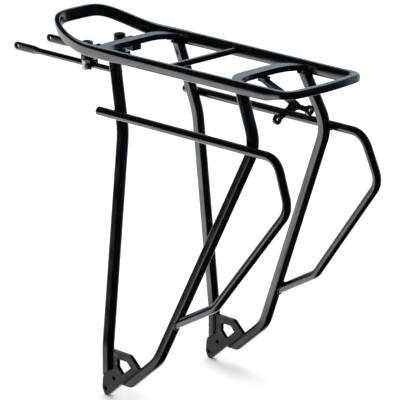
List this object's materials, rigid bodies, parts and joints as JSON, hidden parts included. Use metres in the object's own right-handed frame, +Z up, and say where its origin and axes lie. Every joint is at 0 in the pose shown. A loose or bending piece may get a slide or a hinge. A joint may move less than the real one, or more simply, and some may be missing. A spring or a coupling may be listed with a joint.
{
  "type": "rear rack",
  "caption": "Bicycle rear rack: a deck loop on two leaning leg frames, with pannier rails, foot plates, a rear light bracket and sliding, swivelling front stays.",
  "frame": {"origin": "halfway between the two lower foot holes, on the bicycle's middle plane", "axes": "+X towards the rear, +Y towards the bicycle's right side, +Z up"},
  "size_m": [0.4697, 0.1798, 0.4077],
  "materials": {
    "black_alloy": "satin black coating on aluminium tube and plate",
    "black_fastener": "black oxide on steel screws",
    "bright_steel": "brushed stainless strap",
    "black_plastic": "moulded plugs and caps"
  },
  "bodies": {
    "rack": {"deck_loop": "black_alloy", "front_bridge": "black_alloy", "middle_crossbar": "black_alloy", "rear_bridge": "black_alloy", "light_bracket": "black_alloy", "left_front_leg": "black_alloy", "left_rear_leg": "black_alloy", "left_pannier_rail": "black_alloy", "left_rail_plug": "black_plastic", "left_foot_plate": "black_alloy", "left_stay_arm": "black_alloy", "right_front_leg": "black_alloy", "right_rear_leg": "black_alloy", "right_pannier_rail": "black_alloy", "right_rail_plug": "black_plastic", "right_foot_plate": "black_alloy", "right_stay_arm": "black_alloy"},
    "left_clamp": {"left_clamp_plate": "black_fastener", "left_clamp_bolt": "black_fastener", "left_clamp_block": "black_alloy", "left_clamp_saddle": "bright_steel", "left_lock_screw": "black_fastener"},
    "left_stay": {"left_stay": "black_alloy", "left_stay_cap": "black_plastic"},
    "right_clamp": {"right_clamp_plate": "black_fastener", "right_clamp_bolt": "black_fastener", "right_clamp_block": "black_alloy", "right_clamp_saddle": "bright_steel", "right_lock_screw": "black_fastener"},
    "right_stay": {"right_stay": "black_alloy", "right_stay_cap": "black_plastic"}
  },
  "joints": [
    {"name": "left_clamp_swivel", "type": "hinge", "parent": "rack", "child": "left_clamp", "pos_m": [-0.087, -0.0252, 0.36], "axis": [0, 0, 1], "range_deg": [-8, 12]},
    {"name": "left_stay_slide", "type": "slide", "parent": "left_clamp", "child": "left_stay", "axis": [1, 0, 0], "range_m": [-0.034, 0.03]},
    {"name": "right_clamp_swivel", "type": "hinge", "parent": "rack", "child": "right_clamp", "pos_m": [-0.087, 0.0252, 0.36], "axis": [0, 0, 1], "range_deg": [-12, 8]},
    {"name": "right_stay_slide", "type": "slide", "parent": "right_clamp", "child": "right_stay", "axis": [1, 0, 0], "range_m": [-0.034, 0.03]}
  ]
}
